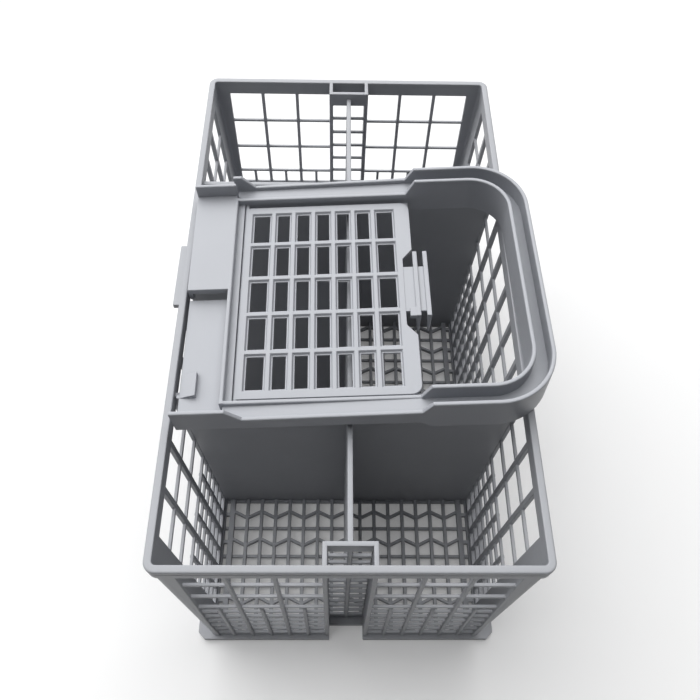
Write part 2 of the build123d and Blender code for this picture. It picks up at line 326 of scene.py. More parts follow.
def thickPanel(tree, size, across, up, x, y, hole, proud=None, flare=None, weld=0.001):
    # across and up count the grid's vertices; x and y place them; hole and proud choose faces;
    # flare narrows the upper side in a flat shelf and a steep flank
    grid = across.node("GeometryNodeMeshGrid", sockets={"Vertices X": across, "Vertices Y": up})
    name, kind, domain = ("proud", "BOOLEAN", "FACE") if proud else ("flare", "FLOAT_VECTOR", "POINT")
    marked = grid.node("GeometryNodeStoreNamedAttribute", {"data_type": kind, "domain": domain}, {
        "Geometry": grid, "Name": name, "Value": proud or flare})
    mark = grid.node("GeometryNodeInputNamedAttribute", {"data_type": kind}, {"Name": name})
    place = x.node("ShaderNodeCombineXYZ", sockets={"X": x, "Y": y})
    moved = grid.node("GeometryNodeSetPosition", sockets={"Geometry": marked, "Position": place})
    sheet = grid.node("GeometryNodeDeleteGeometry", {"domain": "FACE"}, {
        "Geometry": moved, "Selection": hole})
    thick = grid.node("GeometryNodeExtrudeMesh", {"mode": "FACES"}, {
        "Mesh": sheet, "Offset Scale": size["Thickness"], "Individual": False})
    chosen = thick.also("Top")
    if proud:
        raised = grid.node("GeometryNodeExtrudeMesh", {"mode": "FACES"}, {
            "Mesh": thick, "Selection": chosen * mark, "Offset Scale": size["Rise"], "Individual": False})
    else:
        raised = thick
        for rise, share in ((0.0, size["Shelf"]), (size["Rise"], 1.0 - size["Shelf"])):
            grown = grid.node("GeometryNodeExtrudeMesh", {"mode": "FACES"}, {
                "Mesh": raised, "Selection": chosen, "Offset Scale": rise, "Individual": False})
            chosen = grown.also("Top")
            part = grid.node("ShaderNodeVectorMath", {"operation": "SCALE"}, {0: mark, "Scale": share})
            raised = grid.node("GeometryNodeSetPosition", sockets={
                "Geometry": grown, "Selection": chosen, "Offset": part})
    back = grid.node("GeometryNodeFlipFaces", sockets={"Mesh": sheet})
    both = grid.node("GeometryNodeJoinGeometry", sockets={"Geometry": raised})
    tree.links.new(back.socket, both.socket.node.inputs[0])
    merged = grid.node("GeometryNodeMergeByDistance", sockets={"Geometry": both, "Distance": weld})
    real = grid.node("GeometryNodeRealizeInstances", sockets={"Geometry": merged})
    dressed = grid.node("GeometryNodeSetMaterial", sockets={"Geometry": real, "Material": size["Material"]})
    end = tree.nodes.new("NodeGroupOutput")
    tree.links.new(dressed.socket, end.inputs["Geometry"])
    return tree


def wallTree():
    # Large cells above, half-width cells below; the first and last upright widen into posts
    tree, size = startTree("wallLattice", {
        "Bays": "Int", "Bay": "Float", "Start": "Float", "Left": "Float", "Right": "Float",
        "Upright": "Float", "Half Upright": "Float", "Halves": "Int", "Rung": "Float",
        "Large Rows": "Int", "Large Pitch": "Float", "Fine Rows": "Int", "Fine Pitch": "Float",
        "Top": "Float", "Lattice Top": "Float", "Bottom": "Float",
        "Thickness": "Float", "Rise": "Float", "Material": "Material"})
    bay = size["Bay"]
    upright = size["Upright"]
    half = size["Half Upright"]
    large = size["Large Rows"]
    across = size["Bays"] * 4 + 2
    up = (large + size["Fine Rows"]) * 2 + 2
    index = Wire.make(tree, "GeometryNodeInputIndex")

    column = (index / up).floor()
    part = column % 4
    x = size["Start"] + (column / 4).floor() * bay - upright / 2
    x = x + (part > 0.5) * upright + (part > 1.5) * ((bay - half - upright) / 2) + (part > 2.5) * half
    x = pick(column < 0.5, size["Left"], pick(column > across - 1.5, size["Right"], x))

    row = up - 1 - index % up
    cell = ((row - 1) / 2).floor()
    end = (row - 1) % 2
    fineTop = size["Lattice Top"] - large * size["Large Pitch"]
    yLarge = size["Lattice Top"] - cell * size["Large Pitch"] - end * (size["Large Pitch"] - size["Rung"])
    yFine = fineTop - (cell - large) * size["Fine Pitch"] - end * (size["Fine Pitch"] - size["Rung"])
    y = pick(cell < large - 0.5, yLarge, yFine)
    y = pick(row < 0.5, size["Top"], pick(row > up - 1.5, size["Bottom"], y))

    face = up - 1
    strip = (index / face).floor() % 4
    level = face - 1 - index % face
    isGap = strip % 2 > 0.5
    isHalf = (strip > 1.5) * (strip < 2.5)
    isFine = (level > large * 2 + 0.5) * size["Halves"]
    hole = (level % 2 > 0.5) * (isGap | (isHalf * (1.0 - isFine)))
    proud = (strip < 0.5) | (isHalf * isFine)
    return thickPanel(tree, size, across, up, x, y, hole, proud)


def floorTree():
    # Straight bars one way; the other way straight bars take turns with zigzag ones
    tree, size = startTree("floorLattice", {
        "Bays": "Int", "Bay": "Float", "Start": "Float", "Left": "Float", "Right": "Float", "Bar": "Float",
        "Rows": "Int", "Row Pitch": "Float", "Row Start": "Float", "Row Bar": "Float", "Zigzag": "Float",
        "Thickness": "Float", "Rise": "Float", "Material": "Material"})
    across = size["Bays"] * 2 + 2
    up = size["Rows"] * 2 + 2
    index = Wire.make(tree, "GeometryNodeInputIndex")

    column = (index / up).floor()
    bar = (column / 2).floor()
    x = size["Start"] + bar * size["Bay"] + (column % 2 - 0.5) * size["Bar"]
    x = pick(column < 0.5, size["Left"], pick(column > across - 1.5, size["Right"], x))

    row = index % up
    line = (row / 2).floor()
    bend = (1.0 - line % 2) * (1.0 - bar % 2 * 2.0) * size["Zigzag"]
    y = size["Row Start"] + line * size["Row Pitch"] + (row % 2 - 0.5) * size["Row Bar"] + bend

    face = up - 1
    strip = (index / face).floor()
    level = index % face
    isCell = (strip % 2 > 0.5) * (level % 2 > 0.5)
    isZigzag = (level % 4) < 0.5
    proud = (strip % 2 < 0.5) | isZigzag
    return thickPanel(tree, size, across, up, x, y, isCell, proud)


# Basket

basketShape = {
    "length": 238.0, "width": 134.0, "height": 120.0, "wall": 1.8,
    "corner": 3.2, "cornerReach": 1.0, "cornerSteps": 8,
    "overlap": 0.02,  # keeps faces of joined parts out of one plane
    "bite": 0.5, "endBite": 0.3,  # how far a part reaches into the next
    "taper": 5.0, "taperBeyond": 60.0,  # lean of the side walls, and the half width past which parts lean
    "lipOut": 1.0, "lipDepth": 2.6, "lipRound": 0.8, "groove": 0.7, "bandOut": 0.9, "bandDepth": 4.4,
    "latticeTop": 112.8, "rowPitch": 17.8, "largeRows": 3, "fineRows": 6, "rung": 1.3,
    "sideBay": 17.8, "sideBays": 12, "sideUpright": 2.4, "sideHalf": 1.5,
    "endBay": 17.0, "endBays": 3, "endUpright": 1.5, "endHalf": 1.3,
    "rungDepth": 1.3, "edge": 0.22,
    "channelWidth": 15.4, "channelDepth": 8.0, "channelBar": 1.6, "channelHalf": 1.0,
    "tabLength": 30.0, "tabOut": 3.3, "tabEdge": 0.5,
    "footLength": 241.0, "footWidth": 136.0, "footHeight": 3.0, "footChamfer": 3.0, "footInChannel": 3.2,
    "divider": 2.0, "dividerTop": 117.0, "crossWall": 53.4, "plateEdge": 0.45,
}
floorShape = {
    "bottom": 2.5, "bay": 7.0, "columns": 16, "bar": 1.6, "halfWidth": 57.0,
    "rows": 34, "rowBar": 1.4, "zigzag": 1.3, "low": 1.7, "high": 2.5,
    "slotStart": 57.8, "slotEnd": 59.6, "slotBar": 1.6, "slotBite": 0.4, "slotDrop": 0.03,
}


def leanIn(mesh):
    # The side walls and what reaches them lean in from the band down to the foot
    shape = basketShape
    top = shape["height"] - shape["lipDepth"] - shape["bandDepth"]
    for vertex in mesh.vertices:
        if abs(vertex.co.x) > shape["taperBeyond"]:
            shift = shape["taper"] * max(1.0 - vertex.co.z / top, 0.0)
            vertex.co.x -= shift if vertex.co.x > 0 else -shift
    return mesh


def facing(outX, outY, distance):
    # Panel plane: local z points out of the basket, local y up
    out = Vector((outX, outY, 0.0))
    up = Vector((0.0, 0.0, 1.0))
    along = up.cross(out)
    turn = Matrix((along, up, out)).transposed().to_4x4()
    return Matrix.Translation(out * distance) @ turn


def wallPanels(tree):
    shape = basketShape
    rows = {
        "Large Rows": shape["largeRows"], "Large Pitch": shape["rowPitch"],
        "Fine Rows": shape["fineRows"], "Fine Pitch": shape["rowPitch"] / 2, "Rung": shape["rung"],
        "Top": shape["height"] - shape["lipDepth"], "Lattice Top": shape["latticeTop"],
        "Bottom": shape["overlap"], "Halves": 1, "Thickness": shape["rungDepth"],
        "Rise": shape["wall"] - shape["rungDepth"], "Material": basketPlastic}
    sideReach = shape["length"] / 2 - shape["corner"]
    side = dict(rows, **{
        "Bays": shape["sideBays"], "Bay": shape["sideBay"],
        "Start": -shape["sideBays"] * shape["sideBay"] / 2,
        "Left": -sideReach, "Right": sideReach, "Upright": shape["sideUpright"],
        "Half Upright": shape["sideHalf"]})
    endReach = shape["width"] / 2 - shape["corner"]
    mouth = shape["channelWidth"] / 2
    first = mouth + shape["wall"] - shape["endUpright"] / 2
    last = first + shape["endBays"] * shape["endBay"]
    endWall = dict(rows, **{
        "Bays": shape["endBays"], "Bay": shape["endBay"], "Upright": shape["endUpright"],
        "Half Upright": shape["endHalf"]})
    halves = (
        {"Start": first, "Left": mouth + shape["endBite"], "Right": endReach},
        {"Start": -last, "Left": -endReach, "Right": -mouth - shape["endBite"]})
    back = dict(rows, **{
        "Bays": 2, "Bay": mouth + shape["channelBar"] / 2, "Start": -mouth - shape["channelBar"] / 2,
        "Left": -mouth - shape["bite"], "Right": mouth + shape["bite"], "Upright": shape["channelBar"],
        "Half Upright": shape["channelHalf"], "Halves": 0, "Large Rows": 0,
        "Fine Rows": 2 * shape["largeRows"] + shape["fineRows"], "Top": shape["height"] - shape["lipRound"]})
    meshes = []
    for sign in (-1, 1):
        panels = [(side, facing(sign, 0, shape["width"] / 2 - shape["wall"]))]
        atEnd = facing(0, sign, shape["length"] / 2 - shape["wall"])
        panels += [(dict(endWall, **half), atEnd) for half in halves]
        panels.append((back, facing(0, sign, shape["length"] / 2 - shape["channelDepth"] - shape["wall"])))
        for sizes, place in panels:
            mesh = growMesh(tree, sizes, shape["edge"])
            mesh.transform(place)
            meshes.append(leanIn(mesh))
    return meshes


def floorPanels(tree):
    shape = floorShape
    reach = basketShape["length"] / 2 - basketShape["wall"]
    pitch = 2 * reach / shape["rows"]
    common = {
        "Rows": shape["rows"], "Row Pitch": pitch, "Row Start": -reach, "Row Bar": shape["rowBar"],
        "Thickness": shape["low"], "Rise": shape["high"] - shape["low"], "Material": basketPlastic}
    middle = dict(common, **{
        "Bays": shape["columns"], "Bay": shape["bay"], "Start": -shape["columns"] * shape["bay"] / 2,
        "Left": -shape["halfWidth"], "Right": shape["halfWidth"], "Bar": shape["bar"],
        "Zigzag": shape["zigzag"]})
    mesh = growMesh(tree, middle, basketShape["edge"])
    # The grid is cut back from the channels and the outer faces of the end walls
    mouth = basketShape["channelWidth"] / 2 + basketShape["wall"] / 2
    back = basketShape["length"] / 2 - basketShape["channelDepth"] - basketShape["wall"] / 2
    wide = basketShape["width"]
    far = reach + basketShape["wall"] / 2
    for sign in (-1, 1):
        outline = [(-wide, far), (-mouth, far), (-mouth, back), (mouth, back), (mouth, far), (wide, far),
                   (wide, wide), (-wide, wide)]
        mesh = carve(mesh, prismMesh([(x, sign * y) for x, y in outline], -wide, wide, 0.0))
    meshes = [mesh]
    wallFace = basketShape["width"] / 2 - basketShape["wall"] / 2
    slotMiddle = (shape["slotStart"] + shape["slotEnd"]) / 2
    slotBay = shape["slotEnd"] - shape["slotStart"] + shape["bar"]
    for sign in (-1, 1):
        left, right = sorted((sign * (shape["halfWidth"] - shape["slotBite"]), sign * wallFace))
        slots = dict(common, **{
            "Bays": 1, "Bay": slotBay, "Start": sign * slotMiddle - slotBay / 2, "Left": left, "Right": right,
            "Bar": shape["bar"], "Row Bar": shape["slotBar"], "Zigzag": 0.0})
        meshes.append(growMesh(tree, slots, basketShape["edge"]))
        meshes[-1].transform(Matrix.Translation((0.0, 0.0, -shape["slotDrop"])))
    for mesh in meshes:
        mesh.transform(Matrix.Translation((0.0, 0.0, shape["bottom"])))
        leanIn(mesh)
    return meshes


def cornerPosts():
    shape = basketShape
    lap = shape["overlap"]
    steps = shape["cornerSteps"]
    reach = shape["cornerReach"]
    meshes = []
    for sideX in (-1, 1):
        for sideY in (-1, 1):
            centre = Vector((sideX * (shape["width"] / 2 - shape["corner"]),
                             sideY * (shape["length"] / 2 - shape["corner"])))
            outline = []
            for radius, order in ((shape["corner"] + lap, range(steps + 1)),
                                  (shape["corner"] - shape["wall"] - lap, range(steps, -1, -1))):
                arc = [(radius * cos(0.5 * pi * step / steps), radius * sin(0.5 * pi * step / steps))
                       for step in order]
                ends = [(radius, -reach), (-reach, radius)]
                if order[0]:
                    ends.reverse()
                outline += [ends[0]] + arc + [ends[1]]
            outline = [(centre.x + sideX * x, centre.y + sideY * y) for x, y in outline]
            top = shape["height"] - shape["lipDepth"] - shape["bandDepth"]
            meshes.append(leanIn(prismMesh(outline, lap, top + shape["lipRound"], edge=0.0)))
    return meshes


def rimAndBand():
    shape = basketShape
    inner = -shape["wall"] - 2 * shape["overlap"]
    top = shape["height"]
    lipLow = top - shape["lipDepth"]
    corners = (  # outward offset, height, rounding
        (inner, lipLow - shape["bandDepth"], 0.2),
        (shape["bandOut"], lipLow - shape["bandDepth"], 0.3),
        (shape["bandOut"], lipLow - shape["groove"], 0.2),
        (0.0, lipLow - shape["groove"], 0.0),
        (0.0, lipLow, 0.0),
        (shape["lipOut"], lipLow, 0.4),
        (shape["lipOut"], top, shape["lipRound"]),
        (inner, top, 0.5))
    return [sweepRing(shape["width"] / 2, shape["length"] / 2, shape["corner"], roundedProfile(corners))]


def channelParts():
    shape = basketShape
    mouth = shape["channelWidth"] / 2
    outer = shape["length"] / 2
    back = outer - shape["channelDepth"]
    lap = shape["overlap"]
    meshes = []
    for sign in (-1, 1):
        for side in (-1, 1):
            x = sorted((side * mouth, side * (mouth + shape["wall"] - 2 * lap)))
            y = sorted((sign * (back - shape["wall"] - lap), sign * (outer - 2 * lap)))
            meshes.append(boxMesh((x[0], y[0], 2 * lap), (x[1], y[1], shape["height"] - lap),
                                  shape["plateEdge"]))
        y = sorted((sign * (back - shape["wall"] - 2 * lap), sign * (back + lap)))
        low = shape["height"] - shape["lipDepth"] - shape["bandDepth"]
        meshes.append(boxMesh((-mouth - shape["wall"] + lap, y[0], low),
                              (mouth + shape["wall"] - lap, y[1], shape["height"] - 2 * lap),
                              shape["plateEdge"]))
    return meshes


def footParts():
    shape = basketShape
    mouth = shape["channelWidth"] / 2
    outX = shape["footWidth"] / 2
    outY = shape["footLength"] / 2
    inX = shape["width"] / 2 - shape["wall"] - shape["taper"]
    inY = shape["length"] / 2 - shape["wall"]
    back = shape["length"] / 2 - shape["channelDepth"]
    cut = shape["footChamfer"]
    lap = shape["overlap"]
    bite = shape["bite"]
    footEnd = mouth + 2 * lap
    meshes = []
    for sign in (-1, 1):
        sides = sorted((sign * (inX + bite), sign * outX))
        meshes.append(boxMesh((sides[0], cut - outY, 0.0), (sides[1], outY - cut, shape["footHeight"])))
        for side in (-1, 1):
            outline = [(footEnd, inY - bite), (outX - lap, inY - bite), (outX - lap, outY - cut),
                       (outX - cut, outY), (footEnd, outY)]
            outline = [(side * x, sign * y) for x, y in outline]
            meshes.append(prismMesh(outline, lap, shape["footHeight"] - lap))
        y = sorted((sign * (back - bite), sign * (back + shape["footInChannel"])))
        meshes.append(boxMesh((-mouth - bite, y[0], lap), (mouth + bite, y[1], shape["footHeight"] - lap)))
    return meshes


def innerWalls():
    shape = basketShape
    half = shape["divider"] / 2
    reach = shape["width"] / 2 - shape["wall"] / 2
    along = shape["length"] / 2 - shape["channelDepth"] - shape["wall"] / 2
    top = shape["dividerTop"]
    edge = shape["plateEdge"]
    lap = shape["overlap"]
    meshes = [boxMesh((-half, -along, 0.0), (half, along, top), edge)]
    for y in (-shape["crossWall"], shape["crossWall"]):
        meshes.append(boxMesh((-reach, y - half, lap), (reach, y + half, top - lap), edge))
    meshes.append(boxMesh((-reach, -half, 2 * lap), (0.0, half, top - 2 * lap), edge))
    return [leanIn(mesh) for mesh in meshes]


def sideTabs():
    shape = basketShape
    lap = shape["overlap"]
    low = shape["height"] - shape["lipDepth"] + 1.5 * lap
    half = shape["tabLength"] / 2
    meshes = []
    for sign in (-1, 1):
        x = sorted((sign * shape["width"] / 2, sign * (shape["width"] / 2 + shape["tabOut"])))
        meshes.append(boxMesh((x[0], -half, low), (x[1], half, shape["height"] - lap), shape["tabEdge"]))
    return meshes


basketMeshes = wallPanels(wallTree()) + floorPanels(floorTree()) + cornerPosts() + rimAndBand()
basketMeshes += channelParts() + footParts() + innerWalls() + sideTabs()
joinPiece("cutleryBasket", basketMeshes, basketPlastic, "basket_body", "basket")


# Handle frame, in its own plane: u towards the grip, v across, w up

handleShape = {
    "origin": (-64.0, -11.9, 117.05), "yaw": 0.9, "rise": 6.6, "span": 129.2,
    "length": 138.0, "half": 56.2, "wall": 1.6, "gripRadius": 22.0, "crown": 0.55,
    "windowStart": 17.6, "windowEnd": 129.6, "windowHalf": 47.8, "windowRadius": 15.0,
    "webTop": ((20.0, 4.6), (89.0, 5.9)), "webBite": 0.5,
    "underside": ((0.0, 0.0), (89.0, 0.0), (92.6, -3.6)),
    "outerTop": ((0.0, 12.6), (19.4, 12.6), (24.8, 6.5), (89.0, 7.8), (92.6, 13.6)),
    "windowTop": ((0.0, 6.6), (17.4, 6.6), (18.4, 6.2), (89.0, 6.2), (92.6, 13.6)),
    "tongueEnd": 16.0, "tongueGap": 0.6, "lipTop": 12.6,
    "pocketTop": 6.6, "pocketHalf": 52.0, "pocketNear": 1.4, "pocketLip": 2.8, "pocketDrop": 0.1,
    "slot": (0.0, 4.0),  # gap in the tongue's sheet, from and to v
    "ramp": (6.4, 2.4, -44.0, -34.0), "nub": (1.0, 1.6),  # length, rise, from and to v; reach and width
    "hingeStripEnd": 20.1, "hingeStripTop": 3.4,
    "ledge": (24.6, 90.0, 45.0, 1.2),  # from and to u, inner edge, top
    "edge": 0.35, "fineEdge": 0.2, "stripEdge": 0.25,
    "lap": 0.01, "sink": 0.3, "inset": 0.4,  # keeps faces out of one plane; roots of small parts and sheets
}


def handlePlane():
    tilt = asin(handleShape["rise"] / handleShape["span"])
    yaw = radians(handleShape["yaw"])
    along = Vector((cos(tilt) * cos(yaw), cos(tilt) * sin(yaw), sin(tilt)))
    up = Vector((-sin(tilt) * cos(yaw), -sin(tilt) * sin(yaw), cos(tilt)))
    turn = Matrix((along, up.cross(along), up)).transposed().to_4x4()
    return Matrix.Translation(handleShape["origin"]) @ turn


def heightAt(stops, u):
    for (u0, w0), (u1, w1) in zip(stops, stops[1:]):
        if u <= u1:
            return w0 + (w1 - w0) * max(u - u0, 0.0) / (u1 - u0)
    return stops[-1][1]


def deePath(nearStart, farStart, end, half, radius, breaks, steps=14):
    # From the near left end round the grip to the far left end, with a point at each break in height
    straight = end - radius
    near = [nearStart] + [u for u in breaks if nearStart < u < straight] + [straight]
    far = [straight] + [u for u in reversed(breaks) if farStart < u < straight] + [farStart]
    path = [(u, -half) for u in near[:-1]]
    for centre, start in (((straight, radius - half), -0.5), ((straight, half - radius), 0.0)):
        for step in range(steps + 1):
            turn = pi * (start + 0.5 * step / steps)
            path.append((centre[0] + radius * cos(turn), centre[1] + radius * sin(turn)))
    return path + [(u, half) for u in far[1:]]


def wallSweep(path, thickness, top, bottom, crown, closed=False, steps=4, mitreLimit=0.3, shortest=1e-6):
    # A wall of even thickness along a plan path, with a rounded crown and a rounded foot
    half = thickness / 2
    bm = bmesh.new()
    sections = []
    count = len(path)
    for index, (u, v) in enumerate(path):
        here = Vector((u, v))
        before = Vector(path[index - 1]) if closed or index else here
        after = Vector(path[(index + 1) % count]) if closed or index < count - 1 else here
        ways = [way.normalized() for way in (here - before, after - here) if way.length > shortest]
        way = sum(ways, Vector((0.0, 0.0))).normalized()
        side = Vector((way.y, -way.x)) / max(way.dot(ways[0]), mitreLimit)
        high = heightAt(top, u)
        low = heightAt(bottom, u)
        outline = []
        for level, sign, turns in ((high - crown, 1, (0.0, 0.5)), (high - crown, -1, (0.5, 0.0)),
                                   (low + crown, -1, (0.0, -0.5)), (low + crown, 1, (-0.5, 0.0))):
            for step in range(steps + 1):
                turn = pi * (turns[0] + (turns[1] - turns[0]) * step / steps)
                outline.append((sign * (half - crown + crown * cos(turn)), level + crown * sin(turn)))
        sections.append([bm.verts.new((*(here + side * off), w)) for off, w in outline])
    pairs = list(zip(sections, sections[1:]))
    if closed:
        pairs.append((sections[-1], sections[0]))
    else:
        bm.faces.new(sections[0])
        bm.faces.new(sections[-1])
    for one, two in pairs:
        for step in range(len(one)):
            nextStep = (step + 1) % len(one)
            bm.faces.new((one[step], one[nextStep], two[nextStep], two[step]))
    bmesh.ops.recalc_face_normals(bm, faces=bm.faces)
    return asMesh(bm)


def webStrip(outer, inner, top, thickness):
    # The sheet between two plan paths, at the height that top gives along u
    bm = bmesh.new()
    rows = [[bm.verts.new((u, v, heightAt(top, u) - drop)) for u, v in path] for path, drop in
            ((outer, thickness), (outer, 0.0), (inner, 0.0), (inner, thickness))]
    for one, two in zip(rows, rows[1:] + rows[:1]):
        for step in range(len(one) - 1):
            bm.faces.new((one[step], one[step + 1], two[step + 1], two[step]))
    for end in (0, -1):
        bm.faces.new([row[end] for row in rows])
    bmesh.ops.recalc_face_normals(bm, faces=bm.faces)
    return asMesh(bm)


def sideways(mesh):
    # A prism drawn in u and w, grown towards -v
    mesh.transform(Matrix.Rotation(0.5 * pi, 4, "X"))
    return mesh


def handleParts():
    shape = handleShape
    wall = shape["wall"]
    half = shape["half"]
    crown = shape["crown"]
    breaks = sorted({u for key in ("underside", "outerTop", "windowTop") for u, w in shape[key]})
    outer = deePath(0.0, shape["tongueEnd"], shape["length"] - wall / 2, half - wall / 2,
                    shape["gripRadius"] - wall / 2, breaks)
    ribMiddle = shape["windowStart"] - wall / 2
    window = deePath(ribMiddle, ribMiddle, shape["windowEnd"] + wall / 2, shape["windowHalf"] + wall / 2,
                     shape["windowRadius"] + wall / 2, breaks)
    bite = shape["webBite"]
    start = shape["windowStart"] - bite
    webOuter = deePath(start, start, shape["length"] - wall + bite, half - wall + bite,
                       shape["gripRadius"] - wall + bite, breaks)
    webInner = deePath(start, start, shape["windowEnd"] + wall - bite, shape["windowHalf"] + wall - bite,
                       shape["windowRadius"] + wall - bite, breaks)
    far = shape["pocketHalf"]
    near = shape["pocketNear"]
    roof = shape["pocketTop"]
    roofEnd = shape["windowStart"] - shape["tongueGap"]
    edge = shape["edge"]
    lap = shape["lap"]
    sink = shape["sink"]
    inset = shape["inset"]
    slot = shape["slot"]
    rampEnd, rampRise, rampNear, rampFar = shape["ramp"]
    rampSide = [(5 * lap, wall - sink), (rampEnd, wall - sink), (rampEnd, wall + rampRise), (5 * lap, wall)]
    nubReach, nubWidth = shape["nub"]
    stripHalf = shape["windowHalf"] + wall - sink
    meshes = [
        wallSweep(outer, wall, shape["outerTop"], shape["underside"], crown),
        wallSweep(window, wall, shape["windowTop"], shape["underside"], crown, closed=True),
        webStrip(webOuter, webInner, shape["webTop"], wall),
        # Tongue: its sheet on both sides of the slot, and the lip at the far end
        boxMesh((0.0, inset - half, 0.0), (roofEnd, slot[0], wall), edge),
        boxMesh((0.0, slot[1], 0.0), (roofEnd, far - inset, wall), edge),
        boxMesh((2 * lap, far - wall, 2 * lap), (roofEnd + inset, far, shape["lipTop"]), crown, 4),
        # Pocket: end wall, roof and the roof's near edge
        boxMesh((lap, near + lap, 3 * lap), (wall, far - bite, roof - shape["pocketDrop"]), edge),
        boxMesh((0.0, near, roof - wall), (roofEnd, far - bite, roof - 2 * lap), edge, 3),
        boxMesh((3 * lap, near + 3 * lap, roof - shape["pocketLip"]),
                (roofEnd, near + wall, roof - edge), edge),
        # Snap ramp with its nub, and the hinge strip
        sideways(prismMesh(rampSide, -rampFar, -rampNear, shape["fineEdge"])),
        boxMesh((-nubReach, rampNear, 2 * lap), (wall, rampNear + nubWidth, wall - 2 * lap)),
        boxMesh((roofEnd, -stripHalf, 4 * lap), (shape["hingeStripEnd"], stripHalf, shape["hingeStripTop"]),
                shape["stripEdge"]),
    ]
    ledgeStart, ledgeEnd, ledgeInner, ledgeTop = shape["ledge"]
    for sign in (-1, 1):
        v = sorted((sign * ledgeInner, sign * (shape["windowHalf"] + wall / 2)))
        meshes.append(boxMesh((ledgeStart, v[0], 6 * lap), (ledgeEnd, v[1], ledgeTop), shape["fineEdge"]))
    for mesh in meshes:
        mesh.transform(handlePlane())
    return meshes


joinPiece("handleFrame", handleParts(), handlePlastic, "basket_body", "handle_frame")


# Lid, in the handle's plane

lidShape = {
    "hinge": (21.2, 2.3), "barrel": 0.9, "pin": 0.8, "pinReach": 49.1, "rodEdge": 0.15, "rodSides": 24,
    "end": 90.0, "half": 46.0, "bottom": 1.4, "thickness": 1.8, "corner": 4.0, "cornerSteps": 8,
    "edge": 0.16, "edgeAngle": 25.0, "lap": 0.05,
    "base": 0.8, "shelf": 0.5,  # bar height under the crest, and the flat part of its flank
    "columns": 7, "rows": 5, "start": 24.5, "cell": 4.96, "outerCell": 6.5, "bar": 3.42, "crest": 1.5,
    "cellHeight": 14.0, "rowBar": 3.4,
    "notchHalf": 20.7, "notchDepth": 4.0, "notchSlope": 4.8, "notchPast": 1.0,
    "neck": (-9.6, 12.0), "neckDrop": 0.25, "neckRoot": 0.6, "neckEdge": 0.2,
    "plate": 1.9, "plateTip": 0.8, "plateGap": 2.2, "plateRise": 0.6, "plateDrop": 8.0, "plateRound": 0.33,
    "plateEnds": (-12.25, 19.25), "return": (2.4, 4.2), "returnEdge": 0.35,
}


def lidTree():
    # Lattice whose bars carry a narrow crest on a flat base; the outer columns are wider
    tree, size = startTree("lidLattice", {
        "Columns": "Int", "Rows": "Int", "Start": "Float", "Cell": "Float", "Outer Cell": "Float",
        "Bar": "Float", "Cell Height": "Float", "Row Bar": "Float", "Left": "Float", "Right": "Float",
        "Half Width": "Float", "Flare": "Float", "Shelf": "Float", "Thickness": "Float", "Rise": "Float",
        "Material": "Material"})
    across = size["Columns"] * 2 + 2
    up = size["Rows"] * 2 + 2
    index = Wire.make(tree, "GeometryNodeInputIndex")

    column = (index / up).floor()
    cell = ((column - 1) / 2).floor()
    side = (column - 1) % 2
    outer = (cell < 0.5) | (cell > size["Columns"] - 1.5)
    second = size["Start"] + size["Outer Cell"] + size["Bar"]
    left = pick(cell < 0.5, size["Start"], second + (cell - 1) * (size["Cell"] + size["Bar"]))
    x = left + side * pick(outer, size["Outer Cell"], size["Cell"])
    inX = (column > 0.5) * (column < across - 1.5)
    x = pick(column < 0.5, size["Left"], pick(column > across - 1.5, size["Right"], x))

    row = index % up
    line = ((row - 1) / 2).floor()
    end = (row - 1) % 2
    step = size["Cell Height"] + size["Row Bar"]
    y = (line - (size["Rows"] - 1) / 2) * step + (end - 0.5) * size["Cell Height"]
    inY = (row > 0.5) * (row < up - 1.5)
    y = pick(row < 0.5, size["Half Width"] * -1.0, pick(row > up - 1.5, size["Half Width"], y))

    face = up - 1
    hole = ((index / face).floor() % 2 > 0.5) * (index % face % 2 > 0.5)
    reach = inX * inY * size["Flare"]
    flare = x.node("ShaderNodeCombineXYZ", sockets={
        "X": (side * 2.0 - 1.0) * reach, "Y": (end * 2.0 - 1.0) * reach})
    return thickPanel(tree, size, across, up, x, y, hole, flare=flare)


def rodMesh(radius, reach, place):
    bm = bmesh.new()
    bmesh.ops.create_cone(bm, cap_ends=True, segments=lidShape["rodSides"], radius1=radius, radius2=radius,
                          depth=2 * reach)
    roundEdges(bm, lidShape["rodEdge"], 2)
    mesh = sideways(asMesh(bm))
    mesh.transform(Matrix.Translation((place[0], 0.0, place[1])))
    return mesh


def lidPlate():
    shape = lidShape
    sizes = {
        "Columns": shape["columns"], "Rows": shape["rows"], "Start": shape["start"], "Cell": shape["cell"],
        "Outer Cell": shape["outerCell"], "Bar": shape["bar"], "Cell Height": shape["cellHeight"],
        "Row Bar": shape["rowBar"], "Left": shape["hinge"][0], "Right": shape["end"],
        "Half Width": shape["half"], "Flare": (shape["bar"] - shape["crest"]) / 2, "Shelf": shape["shelf"],
        "Thickness": shape["base"], "Rise": shape["thickness"] - shape["base"], "Material": handlePlastic}
    lap = shape["lap"]
    bm = bmesh.new()
    bm.from_mesh(growMesh(lidTree(), sizes))
    corners = [e for e in bm.edges if all(
        abs(v.co.x - shape["end"]) < lap and abs(abs(v.co.y) - shape["half"]) < lap for v in e.verts)]
    bmesh.ops.bevel(bm, geom=corners, offset=shape["corner"], segments=shape["cornerSteps"], profile=0.5,
                    affect="EDGES")
    half = shape["notchHalf"]
    inner = half - shape["notchSlope"]
    end = shape["end"]
    deep = end - shape["notchDepth"]
    past = shape["notchPast"]
    outline = [(end, -half), (end + past, -half), (end + past, half), (end, half),
               (deep, inner), (deep, -inner)]
    plate = carve(asMesh(bm), prismMesh(outline, -past, shape["thickness"] + past, 0.0))
    bm = bmesh.new()
    bm.from_mesh(plate)
    roundEdges(bm, shape["edge"], 2, shape["edgeAngle"])
    plate = asMesh(bm)
    plate.transform(Matrix.Translation((0.0, 0.0, shape["bottom"])))
    return plate


